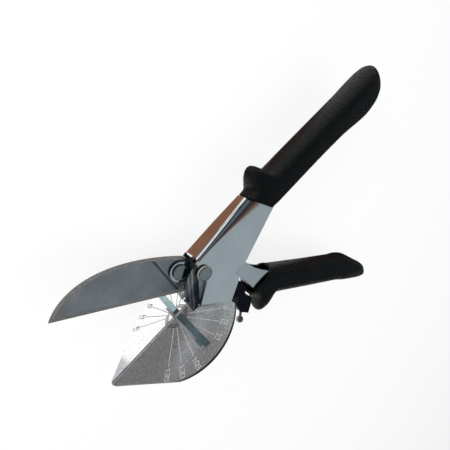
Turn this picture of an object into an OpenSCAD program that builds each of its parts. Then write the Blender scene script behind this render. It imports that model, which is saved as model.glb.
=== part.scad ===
// Mitre shears: hand shears with a roof-shaped angle table, two fences and a single curved blade.
// Frame: millimetres. The tool lies on its side, so the hinge axes stand along Z.
// Origin: the work point, where the angle marks meet on the ridge of the table.
// X runs back to the end of the upper handle, Y rises from the table to the blade, Z is the near side.
// The rest pose is open. Turning the lever by a positive angle about Z closes the blade.

/* [Hinges] */
// Pivot, distance behind the work point
pivot_x = 26.3; // [25.5:0.1:27.5]
// Pivot, height above the ridge
pivot_y = 12.3; // [12:0.1:12.6]
// Direction of the lever when open, below the upper handle
lever_rest = 44; // [43:0.5:45]
// Lock pin, distance behind the work point
lock_x = 31; // [30.6:0.1:31.4]
// Lock pin, distance below the ridge
lock_y = -9; // [-9.3:0.1:-8.7]
// Swing of the lock catch from free to locked
lock_swing = 25; // [24:0.5:27]

/* [Pressed channel] */
// Half of the channel's outer width
channel_half = 7.0; // [6.9:0.05:7.1]
// Sheet thickness of the channel
channel_sheet = 1.4; // [1.3:0.05:1.45]
// Outer radius of the long bends
channel_bend = 2.6; // [2.2:0.1:3]
// How far the nose lips are rolled inward
lip_roll = 1.8; // [1.2:0.1:1.9]

/* [Angle table] */
// Radius of the table's rim
table_radius = 35.3; // [33:0.1:38]
// Distance from the work point to the table's tip corner
table_tip = 48.2; // [47:0.1:50]
// Slope of each wing
table_slope = 9.4; // [7:0.1:12]
// Sheet thickness of the table
table_sheet = 2.0; // [1.8:0.1:2.1]
// Height of the fences
fence_height = 6; // [4:0.5:8]
// Reach of the fences from the ridge
fence_reach = 28; // [24:0.5:30]

/* [Blade] */
// Blade thickness
blade_thick = 2.0; // [1.8:0.1:2.0]
// Width of the ground bevel along the cutting edge
bevel_width = 2.4; // [1.5:0.1:3]
// Distance from the pivot to the blade rivet
rivet_reach = 11.7; // [11.4:0.1:12]

/* [Grips] */
// Half height of the upper grip on its outer side
grip_half_h = 9.6; // [9.2:0.1:10]
// Half width of the upper grip
grip_half_w = 10.8; // [10.4:0.1:11.2]
// Height of the guard hump above the grip's axis
guard_height = 18.8; // [16:0.2:20]
// Extra length of both grips
grip_extra = 0; // [-4:0.5:4]

/* [Hidden] */
$fn = 48;

PIVOT = [pivot_x, pivot_y, 0];
LOCK = [lock_x, lock_y, 0];
STEEL = [0.78, 0.80, 0.82];
ZINC = [0.66, 0.69, 0.68];
GALV = [0.60, 0.62, 0.63];
BLADE = [0.42, 0.43, 0.44];
BLACK = [0.05, 0.05, 0.06];

channel_in = channel_half - channel_sheet;
bolt_r = 2.5;
bush_r = 3.5;
run = 0.05;
seat = 0.02;
spine_front = [28.5, 21.7];
spine_rise = 4.6;
spine_len = 43.4;
hand = spine_front + spine_len * [cos(spine_rise), sin(spine_rise)];
lever_sheet = 1.3;
lever_in = blade_thick / 2 + 0.02;
lever_out = lever_in + lever_sheet;

// Points along a cubic curve
function curve(a, b, c, d, n) = [for (i = [0 : n]) let (t = i / n, s = 1 - t)
    s * s * s * a + 3 * s * s * t * b + 3 * s * t * t * c + t * t * t * d];

// Puts a shape drawn about the pivot, with the lever along X, into the open pose
module on_lever() {
    translate(PIVOT) rotate([0, 0, -lever_rest]) children();
}

// A low dome of the given radius and height standing on z = 0
module dome(r, h) {
    ball = (r * r + h * h) / (2 * h);
    intersection() {
        translate([0, 0, h - ball]) sphere(r = ball, $fn = 96);
        cylinder(r = r, h = h + 1);
    }
}

// A flat head with a rounded shoulder standing on z = 0
module head(r, h, shoulder) {
    cylinder(r = r, h = h - shoulder);
    cylinder(r = r - shoulder, h = h);
    translate([0, 0, h - shoulder]) rotate_extrude() translate([r - shoulder, 0]) circle(r = shoulder);
}

// Upper handle and lower jaw: one pressed steel channel

module channel_section(half, top, r) {
    depth = 70;
    translate([-half + r, -depth]) square([2 * (half - r), depth + top]);
    translate([-half, -depth]) square([2 * half, depth + top - r]);
    for (s = [-1, 1]) translate([s * (half - r), top - r]) circle(r = r);
}

// Side outline of the cheeks: front crease, spine, hand end, lower edge, jaw arms
module cheek_outline() {
    polygon([[13, -3.6], [13, -2], spine_front, hand, hand + [13.5, -14.7], hand + [12, -16.4], [50, -4.7],
        [39.7, -4.5], [39.8, -10.5], [28.3, -17.7], [20, -19.4], [10, -18.6], [-8, -14.2], [-24, -8.2],
        [-26, -6.2], [-26, -3.6]]);
}

lip_dir = [spine_front.x - 13, spine_front.y + 2] / norm([spine_front.x - 13, spine_front.y + 2]);
lip_reach = 10;

// Outline of one nose lip, in front of the crease
module lip_outline() {
    front = curve([27.2, 20.6], [17.5, 18.2], [9.6, 12.8], [8.4, -0.3], 12);
    polygon(concat([[17, -0.3], [30.8, 20.6]], front));
}

// Section of the lip across the crease: flat behind it, rolled inward in front of it
module lip_section() {
    n = 8;
    function drop(v) = lip_roll * pow(max(v, 0) / lip_reach, 2);
    across = concat([-1.3], [for (i = [0 : n]) i * (lip_reach + 0.5) / n]);
    polygon(concat([for (v = across) [v, channel_half - drop(v)]],
        [for (i = [n + 1 : -1 : 0]) [across[i], channel_in - drop(across[i])]]));
}

module lip() {
    intersection() {
        linear_extrude(height = 20) lip_outline();
        multmatrix([[-lip_dir.y, 0, lip_dir.x, 13], [lip_dir.x, 0, lip_dir.y, -2], [0, 1, 0, 0],
            [0, 0, 0, 1]]) translate([0, 0, -6]) linear_extrude(height = 42) lip_section();
    }
}

tang_half = 5.6;
tang_len = 70;
tang_tall = 15.6;

// Narrower tang of the channel inside the upper grip
module tang(clear) {
    half = tang_half + clear;
    translate([hand.x - 1.26, hand.y - 17.18, 0]) difference() {
        translate([0, -clear, -half]) cube([tang_len + clear, tang_tall + 2 * clear, 2 * half]);
        if (clear == 0) translate([-10, -2, -half + channel_sheet])
            cube([tang_len + 20, tang_tall + 2 - channel_sheet, 2 * (half - channel_sheet)]);
    }
}

module frame_channel() {
    color(STEEL) difference() {
        union() {
            intersection() {
                translate(spine_front) rotate([0, 0, spine_rise]) translate([-66, 0, 0]) rotate([0, 90, 0])
                    linear_extrude(height = 125) difference() {
                        channel_section(channel_half, 0, channel_bend);
                        channel_section(channel_in, -channel_sheet, channel_bend - channel_sheet);
                    }
                translate([0, 0, -20]) linear_extrude(height = 40) cheek_outline();
            }
            lip();
            mirror([0, 0, 1]) lip();
            tang(0);
        }
        translate(PIVOT) cylinder(r = bolt_r + run, h = 40, center = true);
        translate(LOCK) cylinder(r = lock_pin_r + seat, h = 2 * (pin_reach + seat), center = true);
        for (p = table_rivet_at) translate(p) cylinder(r = table_rivet_r + seat, h = 40, center = true);
    }
}

// Grips: one moulded shape, mirrored for the lower handle

// Stations along a grip: distance from its mouth, outer half height, inner half height, half width
function grip_stations(size, hump, hump_at, hump_wide, fall, outer, inner, swell, flare, wide, thin) = [
    [0, 8.2, inner + 0.9, wide - 1.6], [hump_at, 8.8, inner + 0.4, wide - 1],
    [hump_at + 0.17 * hump_wide, 12, inner + 0.2, wide - 0.6],
    [hump_at + 0.32 * hump_wide, hump - 2.4, inner, wide - 0.4],
    [hump_at + 0.5 * hump_wide, hump, inner, wide - 0.2],
    [hump_at + 0.68 * hump_wide, hump - fall[0], inner, wide],
    [hump_at + 0.84 * hump_wide, hump - fall[1], inner, wide],
    [hump_at + hump_wide, outer + 1.2, inner, wide],
    [hump_at + hump_wide + 4, outer, inner, wide],
    [34, outer + 0.1, inner, wide], [50, outer + 0.3, inner, wide],
    [66, outer + 0.4, inner + 0.1 * swell, wide], [80, outer + 0.5, inner + 0.3 * swell, wide],
    [size - 28, outer + 0.4 * flare, inner + 0.86 * swell, wide + 0.2],
    [size - 20, outer + 0.7 * flare, inner + 0.95 * swell - 0.5 * thin, wide + 0.4],
    [size - 11, outer + flare, inner + 0.6 * swell - 1.6 * thin, wide + 0.2],
    [size - 7, outer + flare, inner + 0.2 * swell - 2.2 * thin, wide - 0.4],
    [size - 3.6, outer + flare - 0.3, inner - 0.6 - 2.5 * thin, wide - 1.6],
    [size - 1.2, outer + flare - 1.6, inner - 2.6 - 2 * thin, wide - 4],
    [size, outer + flare - 4.6, inner - 6 - thin, wide - 7]];
grip_sides = 32;
upper_mouth_shape = [4.5, 0.55, -20];
lower_mouth_shape = [0.38, 1.13, -2];
mouth_fade = 13;
end_fade = 22;

// One ring of a grip, about its axis along X, with +Y on the outer side
function grip_ring(g, start, size, lean, shape) = [for (k = [0 : grip_sides - 1]) let (
    f = 360 * k / grip_sides, c = cos(f), s = sin(f),
    sharp = min(1.5, 0.86 + 0.09 * max(0, g[1] - g[2] - 1)),
    y = s > 0 ? g[1] * pow(s, sharp) : -g[2] * pow(-s, 0.86),
    z = g[3] * sign(c) * pow(abs(c), 0.86),
    mouth = max(0, 1 - g[0] / mouth_fade),
    tail = max(0, 1 - (size - g[0]) / end_fade))
    [start + g[0] + mouth * max(shape[2], shape[0] - shape[1] * y) + tail * lean * y, y, z]];

module grip_shape(start, stations, lean, shape) {
    n = len(stations);
    m = grip_sides;
    points = [for (g = stations) each grip_ring(g, start, stations[n - 1][0], lean, shape)];
    walls = [for (i = [0 : n - 2], k = [0 : m - 1]) let (a = i * m + k, b = i * m + (k + 1) % m)
        each [[a, b, b + m], [a, b + m, a + m]]];
    polyhedron(points = points, faces = concat(walls,
        [[for (k = [m - 1 : -1 : 0]) k], [for (k = [0 : m - 1]) (n - 1) * m + k]]));
}

grip_fit = 0.06;
upper_axis = hand.y - PIVOT.y - 8.88;
upper_start = hand.x - PIVOT.x + 1.04;
upper_len = 124;
lower_len = 113;
lower_axis = -13.4;

module upper_grip() {
    size = upper_len + grip_extra;
    color(BLACK) difference() {
        translate(PIVOT + [0, upper_axis, 0])
            grip_shape(upper_start,
                grip_stations(size, guard_height, 5, 14.5, [1, 4.4], grip_half_h, 9.8, 3.8, 1.4,
                    grip_half_w, 0), 0.35, upper_mouth_shape);
        tang(grip_fit);
        upper_mouth(grip_fit);
    }
}

// Space in the upper grip's mouth for the end of the channel's cheeks
module upper_mouth(clear) {
    translate([0, 0, -channel_half - clear]) linear_extrude(height = 2 * (channel_half + clear))
        translate(hand) polygon([[-12, 0.8], [0.54, 0.8], [0.54, 0.4], [15.2, -15.9], [12.2, -20.2], [-12, -27]]);
}

// Angle table: a folded sheet with two ears below, carried by the jaw arms

table_rivet_r = 1.5;
table_rivet_at = [[-16, -7.4, 0], [-6, -7.4, 0]];
rear_edge = 12.6;
rear_half = channel_half + 0.35;
tip_round = 3;
rim_front = 34.7;
rim_rear = 47.6;
tab_at = [9, 22];
tab_len = 4;

// Half of the table's outline in the plane of one wing
module wing_outline() {
    front = table_radius * [-sin(rim_front), cos(rim_front)];
    rear = table_radius * [sin(rim_rear), cos(rim_rear)];
    edge = atan2(front.y, front.x + table_tip);
    centre = table_tip - tip_round / sin(edge);
    touch = [-centre - tip_round * sin(edge), tip_round * cos(edge)];
    rim = [for (i = [0 : 20]) let (a = -rim_front + (rim_front + rim_rear) * i / 20)
        table_radius * [sin(a), cos(a)]];
    intersection() {
        union() {
            polygon(concat([[-centre, 0], touch], rim,
                [rear - [0.4, 3.2], [rear_edge, rear_half], [rear_edge, 0]]));
            translate([-centre, 0]) circle(r = tip_round);
        }
        translate([-100, 0]) square([200, 100]);
    }
}

module on_wing() {
    rotate([90 + table_slope, 0, 0]) children();
}

module wing() {
    difference() {
        on_wing() linear_extrude(height = table_sheet) wing_outline();
        on_wing() for (d = tab_at) translate([-fence_sheet, d, -1]) translate([-0.05, -0.05, 0])
            cube([fence_sheet + 0.1, tab_len + 0.1, table_sheet + 2]);
    }
}

ear_in = channel_in - 0.1 - 1.4;

module ear() {
    difference() {
        translate([-20, -11, ear_in]) cube([18, 9, 1.4]);
        for (p = table_rivet_at) translate(p) cylinder(r = table_rivet_r + seat, h = 40, center = true);
    }
}

module angle_table() {
    color(GALV) difference() {
        union() {
            wing();
            mirror([0, 0, 1]) wing();
            ear();
            mirror([0, 0, 1]) ear();
        }
        translate([-60, -0.55, -0.75]) cube([80, 4, 1.5]);
    }
}

// Fences: bent strips whose tabs are staked through the wings

fence_sheet = 1.4;
fence_start = 2.4;

module fence() {
    gap = 0.05;
    on_wing() {
        translate([0, 0, -gap]) mirror([0, 0, 1]) {
            translate([-fence_sheet, fence_start, 0]) cube([4.6, fence_reach - fence_start, 1.2]);
            difference() {
                translate([-fence_sheet, fence_start, 0])
                    cube([fence_sheet, fence_reach - fence_start, fence_height]);
                translate([-5, fence_reach, fence_height - 3]) rotate([45, 0, 0]) cube([10, 10, 10]);
            }
        }
        for (d = tab_at) translate([-fence_sheet, d, -0.5]) cube([fence_sheet, tab_len, table_sheet + 1.1]);
    }
}

module near_fence() {
    color(ZINC) fence();
}

module far_fence() {
    color(ZINC) mirror([0, 0, 1]) fence();
}

module table_rivets() {
    color(STEEL) for (s = [0, 1]) mirror([0, 0, s]) for (p = table_rivet_at) translate(p) {
        translate([0, 0, ear_in - 0.9]) cylinder(r = table_rivet_r, h = channel_half - ear_in + 1.2);
        translate([0, 0, channel_half + seat]) dome(2.6, 1.3);
        translate([0, 0, ear_in - 0.95]) cylinder(r = 2.3, h = 0.9);
    }
}

// Main pivot

module pivot_bolt() {
    color(STEEL) translate(PIVOT) {
        translate([0, 0, channel_half + seat]) head(4.5, 2.2, 1);
        translate([0, 0, -channel_half - 4.6]) cylinder(r = bolt_r, h = 2 * channel_half + 5);
    }
}

module pivot_nut() {
    color(STEEL) translate(PIVOT + [0, 0, -channel_half - 0.05]) mirror([0, 0, 1]) difference() {
        union() {
            cylinder(r = 4.8, h = 1);
            cylinder(r = 4.4, h = 4, $fn = 6);
        }
        translate([0, 0, -1]) cylinder(r = bolt_r + seat, h = 8);
    }
}

module pivot_bush() {
    color(ZINC) translate(PIVOT) difference() {
        cylinder(r = bush_r, h = 2 * (channel_in - 0.1), center = true);
        cylinder(r = bolt_r + run, h = 30, center = true);
    }
}

module near_spacer() {
    color(ZINC) translate(PIVOT + [0, 0, lever_out + 0.1]) difference() {
        cylinder(r = 5.2, h = channel_in - lever_out - 0.25);
        translate([0, 0, -1]) cylinder(r = bush_r + run, h = 8);
    }
}

// Opening spring: a torsion coil round the bush on the far side, one leg on the lever and one under the spine

spring_wire = 0.45;
spring_r = 5.0;
spring_pitch = 1.33;
spring_leg_lever = 24;
spring_leg_spine = 27;
spring_lean = 28;

module opening_spring() {
    from = 90 - lever_rest;
    to = spring_lean - 90 + 720;
    z0 = -lever_out - 0.1 - spring_wire;
    turn = (to - from) / 360;
    steps = ceil(turn * 16);
    u = [cos(lever_rest), -sin(lever_rest)];
    v = [cos(spring_lean), sin(spring_lean)];
    coil = [for (i = [0 : steps]) let (a = from + (to - from) * i / steps)
        [spring_r * cos(a), spring_r * sin(a), z0 - spring_pitch * turn * i / steps]];
    first = coil[0];
    last = coil[steps];
    hook = first + concat(u * spring_leg_lever, [0]);
    path = concat([hook + [0, 0, 5.4], hook + [0, 0, 1]],
        [for (d = [0.6, 8, 16]) hook - concat(u * d, [0])], coil,
        [for (d = [9, 18, spring_leg_spine]) last + concat(v * d, [0])]);
    gaps = [for (i = [0 : steps], j = [0 : steps]) if (abs(i - j) > 8)
        norm(coil[i] - coil[j]) - 2 * spring_wire];
    echo(spring_self_gap = min(gaps));
    color(STEEL) translate(PIVOT) tube(path, spring_wire, 6);
}

// One unbroken tube of triangles along a path
module tube(path, r, m) {
    n = len(path);
    function along(i) = let (d = path[min(i + 1, n - 1)] - path[max(i - 1, 0)]) d / norm(d);
    function side(i) = let (t = along(i), k = cross(t, abs(t.z) > 0.8 ? [cos(lever_rest), -sin(lever_rest), 0]
        : [0, 0, 1])) k / norm(k);
    rings = [for (i = [0 : n - 1]) let (t = along(i), a = side(i), b = cross(t, a)) for (k = [0 : m - 1])
        path[i] + r * (a * cos(360 * k / m) + b * sin(360 * k / m))];
    walls = [for (i = [0 : n - 2], k = [0 : m - 1]) let (p = i * m + k, q = i * m + (k + 1) % m)
        each [[p, q + m, q], [p, p + m, q + m]]];
    polyhedron(points = rings, faces = concat(walls, [for (k = [1 : m - 2]) [0, k, k + 1]],
        [for (k = [1 : m - 2]) let (e = (n - 1) * m) [e, e + k + 1, e + k]]));
}

// Lever: a pressed channel that pinches the blade in front and carries the lower grip behind

heel_r = 7.3;
lobe_r = 14.4;
lobe_at = -75;
lever_tang_end = 112;
tang_top = -6.6;
tang_low = -20.2;

// Side outline of the lever, pivot at the origin, handle along X
module lever_outline() {
    translate([-rivet_reach, 0]) circle(r = 5.8);
    circle(r = heel_r);
    polygon([[-rivet_reach, -5.8], [-rivet_reach, 5.8], [-4.6, 5.3], [6, 5.6], [20, 4.4], [28, 2.9],
        [30, 2.4], [34.5, -0.3], [39.6, -3.2], [44.6, -4.7], [51, -5.9], [54, tang_top],
        [lever_tang_end, tang_top], [lever_tang_end, tang_low], [48, tang_low], [42, -18.6],
        [37, -14.2], [31, -9], [27, -7.4], [10, -6.2], [0, -heel_r]]);
    rotate(lobe_at) polygon([[6, -2.2], [lobe_r, -1.5], [lobe_r, 1.5], [6, 2.4]]);
}

// Band along the outer edge of the lever, closed across as the channel's web
module web_band() {
    polygon([[26.5, -7.4], [27, -7.4], [31, -9], [37, -14.2], [42, -18.6], [48, tang_low],
        [lever_tang_end, tang_low],
        [lever_tang_end, tang_low + 1.3], [48.2, tang_low + 1.3], [42.6, -17.4], [37.8, -13.2], [31.6, -7.9],
        [26.5, -6]]);
}

// The sides flare across a slanted line, which is the cheeks' lower edge when the tool is shut
flare_from = [24.9, -15.1];
flare_slant = 26.3;

// Section across that line: pinched on the blade, inside the cheeks, then out to the grip
function flare(extra) = [[-60, lever_in + extra], [-17, lever_in + extra], [0, 3.7 + extra], [8, 5.3 + extra],
    [16, 5.3 + extra], [24, 4.7 + extra], [110, 4.7 + extra]];

module along_flare() {
    c = cos(flare_slant);
    s = sin(flare_slant);
    multmatrix([[s, 0, -c, flare_from.x], [-c, 0, -s, flare_from.y], [0, 1, 0, 0], [0, 0, 0, 1]])
        translate([0, 0, -110]) linear_extrude(height = 200) children();
}

// Everything between the outer faces of the two sides
module between_sides(extra) {
    outer = flare(extra);
    along_flare() polygon(concat(outer, [for (i = [len(outer) - 1 : -1 : 0]) [outer[i].x, -outer[i].y]]));
}

module one_side() {
    inner = flare(0);
    along_flare() polygon(concat(flare(lever_sheet), [for (i = [len(inner) - 1 : -1 : 0]) inner[i]]));
}

module lever_channel() {
    color(STEEL) on_lever() difference() {
        union() {
            for (s = [0, 1]) mirror([0, 0, s]) intersection() {
                translate([0, 0, -15]) linear_extrude(height = 30) lever_outline();
                one_side();
            }
            intersection() {
                translate([0, 0, -15]) linear_extrude(height = 30) web_band();
                between_sides(lever_sheet);
            }
        }
        cylinder(r = bush_r + seat, h = 40, center = true);
        translate([-rivet_reach, 0, 0]) cylinder(r = blade_rivet_r + seat, h = 40, center = true);
    }
}

module lower_grip() {
    c = grip_fit;
    size = lower_len + grip_extra;
    end = lever_tang_end + c;
    color(BLACK) on_lever() difference() {
        translate([0, lower_axis, 0]) mirror([0, 1, 0])
            grip_shape(41.5,
                grip_stations(size, guard_height + 3.2, 3, 12, [0.6, 3], 9.2, 9.2, 1.2, 3,
                    grip_half_w - 0.4, 1.7), 1.2, lower_mouth_shape);
        intersection() {
            translate([0, 0, -15]) linear_extrude(height = 30) polygon([[30, 4], [39.6 + c, -3.2 + c],
                [44.6 + c, -4.7 + c], [51 + c, -5.9 + c], [54 + c, tang_top + c],
                [end, tang_top + c], [end, tang_low - c], [48, tang_low - c], [42, -18.6 - c],
                [37, -14.3 - c],
                [30, -12]]);
            between_sides(lever_sheet + c);
        }
    }
}

// Blade: curved back, straight edge with a ground bevel, hollow ground in front of the grind line

blade_tip = [-73.5, -17.5];
edge_heel = [-6.5, -12.9];
blade_rivet_r = 2.0;

blade_back = curve(blade_tip, [-69, -2], [-52, 11], [-12, 8.3], 24);
back_width = 1.6;
back_depth = 0.55;

module blade_outline() {
    polygon(concat(blade_back, [[-8.6, 7.6], [-5.8, 5.6], [-4, 4.8], [5, 4.8], [8, 2.4],
        [8, -3], [5, -6], [-2.4, -7],
        [-4.6, -9.4], edge_heel]));
}

module blade() {
    run_dir = atan2(edge_heel.y - blade_tip.y, edge_heel.x - blade_tip.x);
    grind = [-25.9, 6.3];
    grind_dir = atan2(-13.2 - 6.3, -9.1 + 25.9);
    color(BLADE) on_lever() difference() {
        translate([0, 0, -blade_thick / 2]) linear_extrude(height = blade_thick) blade_outline();
        for (s = [0, 1]) mirror([0, 0, s]) {
            translate(blade_tip) rotate([0, 0, run_dir]) rotate([90, 0, 90]) translate([0, 0, -10])
                linear_extrude(height = 90)
                    polygon([[-2, 0.1], [0, 0.1], [bevel_width, blade_thick / 2 - 0.12],
                        [bevel_width, 3], [-2, 3]]);
            translate(grind) rotate([0, 0, grind_dir]) translate([-40, -90, blade_thick / 2 - 0.12])
                cube([90, 90, 5]);
        }
        for (i = [0 : len(blade_back) - 2], s = [0, 1]) let (d = blade_back[i + 1] - blade_back[i])
            translate(blade_back[i]) rotate([0, 0, atan2(d.y, d.x)]) mirror([0, 0, s]) back_cut(norm(d));
        cylinder(r = bush_r + seat, h = 20, center = true);
        translate([-rivet_reach, 0, 0]) cylinder(r = blade_rivet_r + seat, h = 20, center = true);
    }
}

// Cutter for the chamfer along one step of the back
module back_cut(size) {
    half = blade_thick / 2;
    translate([-1, 0, 0]) rotate([90, 0, 90]) linear_extrude(height = size + 2)
        polygon([[-back_width, half], [1, half - back_depth * (back_width + 1) / back_width],
            [1, 3], [-back_width, 3]]);
}

module blade_rivet() {
    color(STEEL) on_lever() translate([-rivet_reach, 0, 0]) {
        cylinder(r = blade_rivet_r, h = 2 * lever_out + 0.4, center = true);
        for (s = [0, 1]) mirror([0, 0, s]) translate([0, 0, lever_out + seat]) head(4.4, 1.1, 0.5);
    }
}

// Lock: a catch on a pin between the cheeks, with a ball-headed finger pin

lock_pin_r = 1.5;
pin_reach = channel_half - 0.5;
catch_half = 3.2;
knob_pin_r = 1;
shoulder_half = 5.0;
knob_from = [31.4, -34.8];
knob_ball = [25, -42];

// The tooth in the locked position, seen from the main pivot, turned back to the free position
module catch_tooth() {
    function polar(r, a) = [pivot_x + r * cos(a), pivot_y + r * sin(a)];
    translate(LOCK) rotate(lock_swing) translate(-LOCK)
        polygon([polar(11.5, -103), polar(11.5, -90.5), polar(16.4, -90), [lock_x - 1, lock_y + 3],
            [lock_x + 1, lock_y - 3], [lock_x - 4, lock_y - 2.4], polar(18.5, -101)]);
}

// Thumb end of the catch, hanging behind the table
module catch_thumb() {
    polygon([[28.2, -10.6], [34, -8.2], [38, -12.4], [39.6, -16.3], [40, -20], [39.2, -24], [36.4, -29.6],
        [39.4, -34], [36, -37.2], [31.4, -40.6], [27.9, -34.5], [28.5, -28.3], [33.4, -24.4], [28.7, -20.4]]);
}

// Thicker shoulder of the catch, between the cheeks
module catch_shoulder() {
    polygon([[33, -9], [35.6, -9.4], [38.2, -12.4], [40.1, -16.3], [40.5, -20], [39.4, -23.4],
        [36, -20], [33.5, -14]]);
}

module lock_catch() {
    away = knob_ball - knob_from;
    color(BLACK) difference() {
        translate([0, 0, -catch_half]) union() {
            linear_extrude(height = 2 * catch_half) catch_thumb();
            linear_extrude(height = 2 * catch_half) catch_tooth();
            translate(LOCK) cylinder(r = 3.2, h = 2 * catch_half);
            translate([0, 0, catch_half - shoulder_half])
                linear_extrude(height = 2 * shoulder_half) catch_shoulder();
        }
        translate(LOCK) cylinder(r = lock_pin_r + run, h = 20, center = true);
        translate(knob_from) rotate([0, 0, atan2(away.y, away.x)]) rotate([0, 90, 0])
            cylinder(r = knob_pin_r + seat, h = 20);
    }
}

module lock_pin() {
    color(STEEL) translate(LOCK) cylinder(r = lock_pin_r, h = 2 * pin_reach, center = true);
}

module lock_knob() {
    away = knob_ball - knob_from;
    color(STEEL) {
        translate(knob_from) rotate([0, 0, atan2(away.y, away.x)]) rotate([0, 90, 0]) translate([0, 0, 0.2])
            cylinder(r = knob_pin_r, h = norm(away));
        translate(knob_ball) sphere(r = 2.4, $fn = 64);
    }
}

frame_channel();
upper_grip();
angle_table();
near_fence();
far_fence();
table_rivets();
pivot_bolt();
pivot_nut();
near_spacer();
lock_pin();
opening_spring();
lever_channel();
lower_grip();
blade();
blade_rivet();
pivot_bush();
lock_catch();
lock_knob();
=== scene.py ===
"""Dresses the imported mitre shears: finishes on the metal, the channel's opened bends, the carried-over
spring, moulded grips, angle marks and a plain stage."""

import bmesh
import bpy
import numpy as np
from mathutils import Matrix, Vector


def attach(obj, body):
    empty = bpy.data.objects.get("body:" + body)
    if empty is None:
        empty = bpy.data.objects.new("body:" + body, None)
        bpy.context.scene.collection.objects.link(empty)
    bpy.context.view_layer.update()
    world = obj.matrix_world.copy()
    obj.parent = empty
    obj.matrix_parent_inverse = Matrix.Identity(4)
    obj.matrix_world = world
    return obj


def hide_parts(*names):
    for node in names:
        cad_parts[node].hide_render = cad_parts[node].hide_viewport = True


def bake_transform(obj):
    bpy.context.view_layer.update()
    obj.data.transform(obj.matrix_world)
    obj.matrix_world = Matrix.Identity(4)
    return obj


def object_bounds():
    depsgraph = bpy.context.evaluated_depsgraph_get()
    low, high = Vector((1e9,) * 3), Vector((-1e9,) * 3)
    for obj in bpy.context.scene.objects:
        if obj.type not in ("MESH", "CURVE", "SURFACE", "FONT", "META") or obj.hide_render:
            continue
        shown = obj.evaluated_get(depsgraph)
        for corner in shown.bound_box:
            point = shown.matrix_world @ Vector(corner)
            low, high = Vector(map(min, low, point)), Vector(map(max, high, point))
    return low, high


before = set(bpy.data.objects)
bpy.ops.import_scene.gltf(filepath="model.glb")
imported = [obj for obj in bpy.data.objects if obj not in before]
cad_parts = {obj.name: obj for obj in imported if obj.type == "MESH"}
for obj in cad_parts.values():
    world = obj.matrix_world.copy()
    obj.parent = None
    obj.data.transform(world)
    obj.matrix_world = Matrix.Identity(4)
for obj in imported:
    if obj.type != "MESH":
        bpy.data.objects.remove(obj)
CAD_BOX = [list(corner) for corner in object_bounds()]

bl_info = {
    "name": "Mitre shears",
    "version": (1, 0, 0),
    "blender": (4, 5, 0),
    "location": "3D View > Sidebar > Shears",
    "description": "Finishes, channel, spring, grips, angle marks and stage for a pair of mitre shears",
    "category": "Object",
}

MM = 0.001
# The shears' own places and sizes, in millimetres
PIVOT = np.array([26.3, 12.3, 0.0])
LEVER_TURN = np.radians(-44.0)
RIVET_REACH = 11.7
PIVOT_HEAD, RIVET_HEAD = 4.5, 4.4
SLOPE = np.radians(9.4)
SPINE_FRONT = np.array([28.5, 21.7])
SPINE_RISE = np.radians(4.6)
SPINE_LENGTH = 52
HALF_WIDTH, SHEET, BEND = 7.0, 1.4, 2.6
EDGE_WIDTH, LIP_BACK, EAR_TOP = 1.6, 26, -8.2


# Mesh helpers


def put_mesh(name, points, faces, body, material, replaces=(), smooth=True):
    """Makes one object at the origin from points in millimetres and face corner rows, riding on a body."""
    mesh = bpy.data.meshes.new(name)
    mesh.from_pydata((np.asarray(points) * MM).tolist(), [], faces)
    mesh.polygons.foreach_set("use_smooth", np.full(len(mesh.polygons), smooth))
    mesh.materials.append(material)
    return put_piece(mesh, body, replaces)


def placed(name, data):
    """A new object at the scene's origin."""
    thing = bpy.data.objects.new(name, data)
    bpy.context.scene.collection.objects.link(thing)
    return thing


def put_piece(mesh, body, replaces=()):
    """Places a finished mesh as an object that rides on a body."""
    mesh.update()
    piece = placed(mesh.name, mesh)
    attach(piece, body)
    if replaces:
        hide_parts(*replaces)
    return piece


def grid_faces(rows, columns, wrap):
    """Corner rows of the quads on a rows by columns grid, closed across the columns if wrap is set."""
    r, c = np.meshgrid(np.arange(rows - 1), np.arange(columns if wrap else columns - 1), indexing="ij")
    n = (c + 1) % columns
    quads = np.stack([r * columns + c, r * columns + n, (r + 1) * columns + n, (r + 1) * columns + c], -1)
    return quads.reshape(-1, 4).tolist()


def read_rows(rows, key, kind, *shape):
    """One value of every row of a mesh's points, corners or faces, as an array."""
    values = np.empty((len(rows), *shape), kind)
    rows.foreach_get(key, values.ravel())
    return values


def mesh_points(mesh):
    """The points of a mesh, in metres."""
    return read_rows(mesh.vertices, "co", np.float32, 3)


def joined_copy(source):
    """A working copy of a carried-over mesh, its loose triangles joined at their corners."""
    work = bmesh.new()
    work.from_mesh(source)
    bmesh.ops.remove_doubles(work, verts=work.verts, dist=1e-6)
    return work


def closed_copy(work, name, source):
    """Ends a working copy as a smooth mesh with the carried-over mesh's finishes."""
    mesh = bpy.data.meshes.new(name)
    work.to_mesh(mesh)
    work.free()
    if "custom_normal" in mesh.attributes:
        mesh.attributes.remove(mesh.attributes["custom_normal"])
    mesh.shade_smooth()
    for material in source.materials:
        mesh.materials.append(material)
    return mesh


def smooth_rows(keys, count):
    """Carries each column of a key table along a smooth curve through its rows, at count even steps."""
    keys = np.asarray(keys, float)
    t = np.linspace(0, len(keys) - 1, count)
    i = np.minimum(t.astype(int), len(keys) - 2)
    f = (t - i)[:, None]
    a, b, c, d = (keys[np.clip(i + k, 0, len(keys) - 1)] for k in (-1, 0, 1, 2))
    return 0.5 * (2 * b + (c - a) * f + (2 * a - 5 * b + 4 * c - d) * f**2 + (3 * b - a - 3 * c + d) * f**3)


def on_lever(points):
    """Turns points drawn about the pivot, handle along X, into the open pose."""
    c, s = np.cos(LEVER_TURN), np.sin(LEVER_TURN)
    return np.asarray(points) @ np.array([[c, s, 0], [-s, c, 0], [0, 0, 1]]) + PIVOT


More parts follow.
